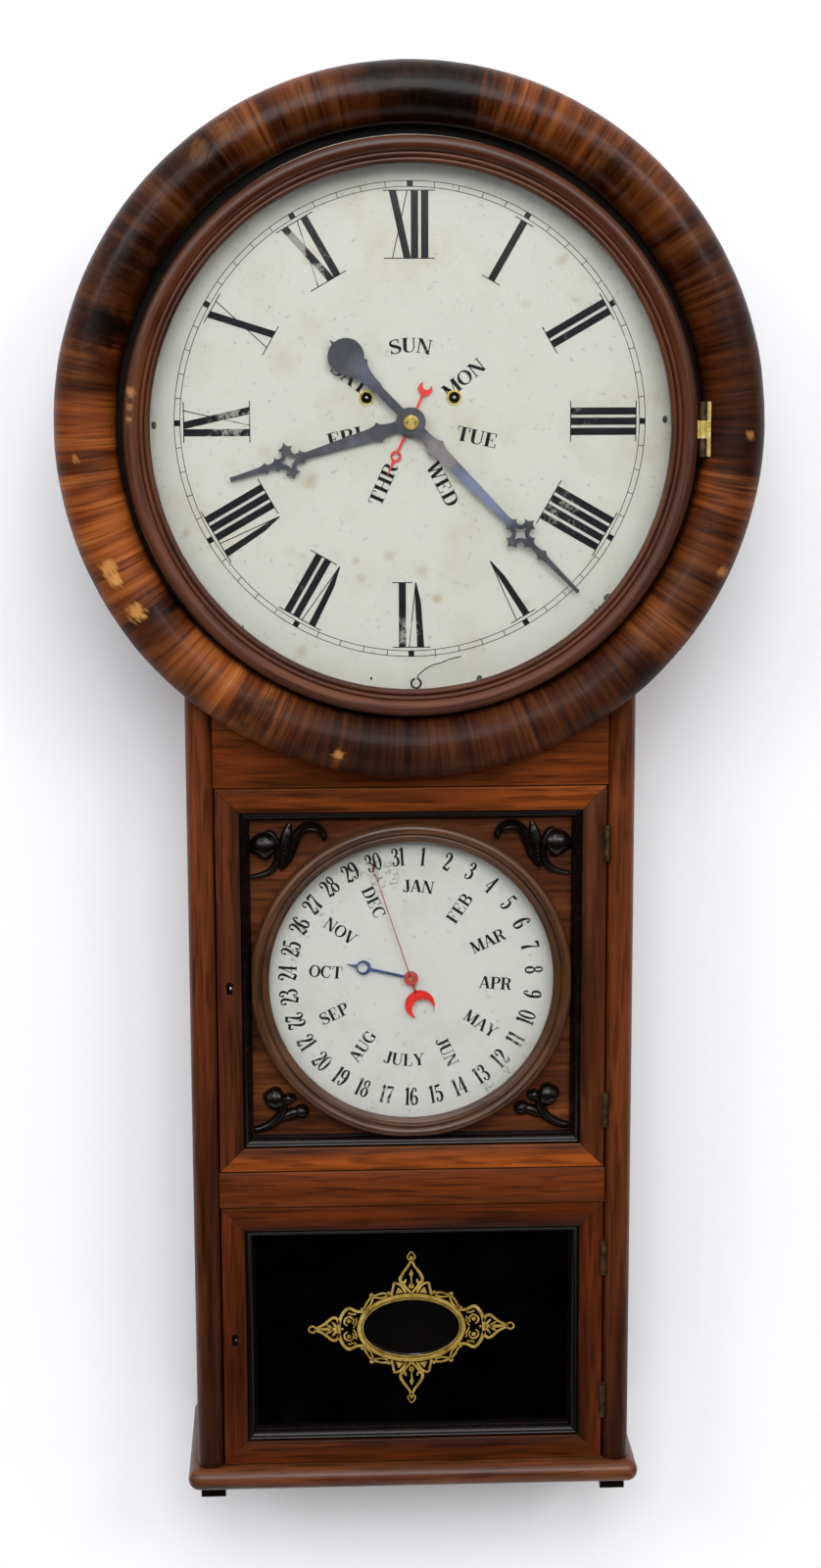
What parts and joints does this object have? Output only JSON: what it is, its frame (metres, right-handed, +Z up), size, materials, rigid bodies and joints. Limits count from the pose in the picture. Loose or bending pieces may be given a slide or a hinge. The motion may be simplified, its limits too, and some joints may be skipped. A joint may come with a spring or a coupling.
{
  "type": "wall regulator clock",
  "caption": "Wall clock with a round hooded head, a trunk with a calendar dial in the upper door, a black glass tablet in the lower door, opening bezel, turning hands and a pendulum.",
  "frame": {"origin": "centre of the hanger plate's hole, on the wall plane", "axes": "+Z up, -Y towards the viewer, +X to the viewer's right"},
  "size_m": [0.4849, 0.155, 1.0255],
  "materials": {
    "rosewood": "polished rosewood veneer under old shellac",
    "walnut": "stained and polished hardwood",
    "ebonised_wood": "ebonised and polished",
    "softwood": "plain sawn softwood",
    "brass": "lightly tarnished",
    "steel": "dull",
    "blued_steel": "blue-black",
    "red_paint": "faded red paint",
    "dial_paint": "aged off-white paint on zinc",
    "clear_glass": "clear",
    "black_glass": "back painted black"
  },
  "bodies": {
    "case": {"back_board": "softwood", "left_side": "walnut", "right_side": "walnut", "case_top": "softwood", "front_rails": "walnut", "base_board": "rosewood", "base_feet": "ebonised_wood", "dial_board": "softwood", "head_ring": "rosewood", "main_dial": "dial_paint", "dial_screws": "steel", "winding_grommets": "brass", "hanger_plate": "steel", "fixed_hinge_leaves": "brass", "hinge_pins": "steel", "movement_seat": "softwood", "movement_back_plate": "brass", "movement_front_plate": "brass", "gong": "blued_steel", "calendar_dial": "dial_paint", "calendar_plate": "brass"},
    "bezel": {"bezel_ring": "rosewood", "bezel_glass": "clear_glass", "bezel_hinge_leaf": "brass"},
    "calendar_door": {"calendar_door_frame": "walnut", "calendar_door_bead": "ebonised_wood", "calendar_panel": "walnut", "calendar_bezel": "rosewood", "calendar_glass": "clear_glass", "corner_carvings": "ebonised_wood", "calendar_hinge_leaves": "brass"},
    "calendar_door_latch": {"calendar_latch": "brass"},
    "pendulum_door": {"pendulum_door_frame": "walnut", "pendulum_door_bead": "ebonised_wood", "tablet_glass": "black_glass", "pendulum_hinge_leaves": "brass"},
    "pendulum_door_latch": {"pendulum_latch": "brass"},
    "minute": {"minute_hand": "blued_steel", "cannon_pinion": "brass", "hand_nut": "brass"},
    "hour": {"hour_hand": "blued_steel", "hour_wheel": "brass"},
    "minute_wheel_body": {"minute_wheel": "brass"},
    "day_cam": {"day_cam_wheel": "brass"},
    "day": {"day_hand": "red_paint", "day_wheel": "brass"},
    "time_great": {"time_great_wheel": "brass"},
    "centre": {"centre_wheel": "brass"},
    "third": {"third_wheel": "brass"},
    "escape": {"escape_wheel": "brass"},
    "verge_body": {"verge": "steel"},
    "pendulum": {"pendulum_rod": "softwood", "pendulum_bob": "brass"},
    "strike_great": {"strike_great_wheel": "brass"},
    "strike_hammer": {"hammer": "steel"},
    "date": {"date_hand": "red_paint", "date_wheel": "brass"},
    "month": {"month_hand": "blued_steel", "month_wheel": "brass"},
    "calendar_link": {"calendar_rod": "steel"}
  },
  "joints": [
    {"name": "bezel_hinge", "type": "hinge", "parent": "case", "child": "bezel", "pos_m": [0.19805, -0.1485, -0.155], "axis": [0, 0, 1], "range_deg": [0, 120]},
    {"name": "calendar_door_hinge", "type": "hinge", "parent": "case", "child": "calendar_door", "pos_m": [0.139, -0.1218, -0.5475], "axis": [0, 0, 1], "range_deg": [0, 115]},
    {"name": "pendulum_door_hinge", "type": "hinge", "parent": "case", "child": "pendulum_door", "pos_m": [0.139, -0.1218, -0.8115], "axis": [0, 0, 1], "range_deg": [0, 115]},
    {"name": "calendar_latch_turn", "type": "hinge", "parent": "calendar_door", "child": "calendar_door_latch", "pos_m": [-0.13, -0.108, -0.5475], "axis": [0, 1, 0], "range_deg": [0, 90]},
    {"name": "pendulum_latch_turn", "type": "hinge", "parent": "pendulum_door", "child": "pendulum_door_latch", "pos_m": [-0.13, -0.108, -0.8115], "axis": [0, 1, 0], "range_deg": [0, 90]},
    {"name": "minute_spin", "type": "hinge", "parent": "case", "child": "minute", "pos_m": [0, -0.12, -0.15], "axis": [0, 1, 0], "continuous": true},
    {"name": "hour_spin", "type": "hinge", "parent": "case", "child": "hour", "pos_m": [0, -0.12, -0.15], "axis": [0, 1, 0], "continuous": true},
    {"name": "minute_wheel_spin", "type": "hinge", "parent": "case", "child": "minute_wheel_body", "pos_m": [0, -0.108, -0.1692], "axis": [0, 1, 0], "continuous": true},
    {"name": "day_cam_spin", "type": "hinge", "parent": "case", "child": "day_cam", "pos_m": [-0.02427, -0.113, -0.16184], "axis": [0, 1, 0], "continuous": true},
    {"name": "day_spin", "type": "hinge", "parent": "case", "child": "day", "pos_m": [0, -0.12, -0.15], "axis": [0, 1, 0], "continuous": true},
    {"name": "third_spin", "type": "hinge", "parent": "case", "child": "third", "pos_m": [0, -0.082, -0.11849], "axis": [0, 1, 0], "continuous": true},
    {"name": "centre_spin", "type": "hinge", "parent": "case", "child": "centre", "pos_m": [0, -0.086, -0.15], "axis": [0, 1, 0], "continuous": true},
    {"name": "time_great_spin", "type": "hinge", "parent": "case", "child": "time_great", "pos_m": [0.03, -0.092, -0.1335], "axis": [0, 1, 0], "continuous": true},
    {"name": "escape_spin", "type": "hinge", "parent": "case", "child": "escape", "pos_m": [0, -0.075, -0.09809], "axis": [0, 1, 0], "continuous": true},
    {"name": "pendulum_swing", "type": "hinge", "parent": "case", "child": "pendulum", "pos_m": [0, -0.048, -0.07329], "axis": [0, 1, 0], "range_deg": [-3, 3]},
    {"name": "verge_swing", "type": "hinge", "parent": "case", "child": "verge_body", "pos_m": [0, -0.075, -0.07329], "axis": [0, 1, 0], "range_deg": [-3, 3]},
    {"name": "strike_great_spin", "type": "hinge", "parent": "case", "child": "strike_great", "pos_m": [-0.03, -0.072, -0.1335], "axis": [0, 1, 0], "continuous": true},
    {"name": "hammer_lift", "type": "hinge", "parent": "case", "child": "strike_hammer", "pos_m": [-0.036, -0.02, -0.176], "axis": [0, 1, 0], "range_deg": [0, 20]},
    {"name": "date_spin", "type": "hinge", "parent": "case", "child": "date", "pos_m": [0, -0.08, -0.5475], "axis": [0, 1, 0], "continuous": true},
    {"name": "month_spin", "type": "hinge", "parent": "case", "child": "month", "pos_m": [0, -0.085, -0.5475], "axis": [0, 1, 0], "continuous": true},
    {"name": "calendar_link_lift", "type": "slide", "parent": "case", "child": "calendar_link", "axis": [0, 0, 1], "range_m": [0, 0.006]}
  ],
  "couplings": [
    {"joint": "hour_spin", "follows": "minute_spin", "ratio": 0.083333},
    {"joint": "minute_wheel_spin", "follows": "minute_spin", "ratio": -0.33333},
    {"joint": "day_cam_spin", "follows": "minute_spin", "ratio": -0.041667},
    {"joint": "centre_spin", "follows": "third_spin", "ratio": -0.125},
    {"joint": "time_great_spin", "follows": "third_spin", "ratio": 0.015625},
    {"joint": "escape_spin", "follows": "third_spin", "ratio": -7.5},
    {"joint": "verge_swing", "follows": "pendulum_swing", "ratio": 1},
    {"joint": "month_spin", "follows": "date_spin", "ratio": 0.083333}
  ]
}
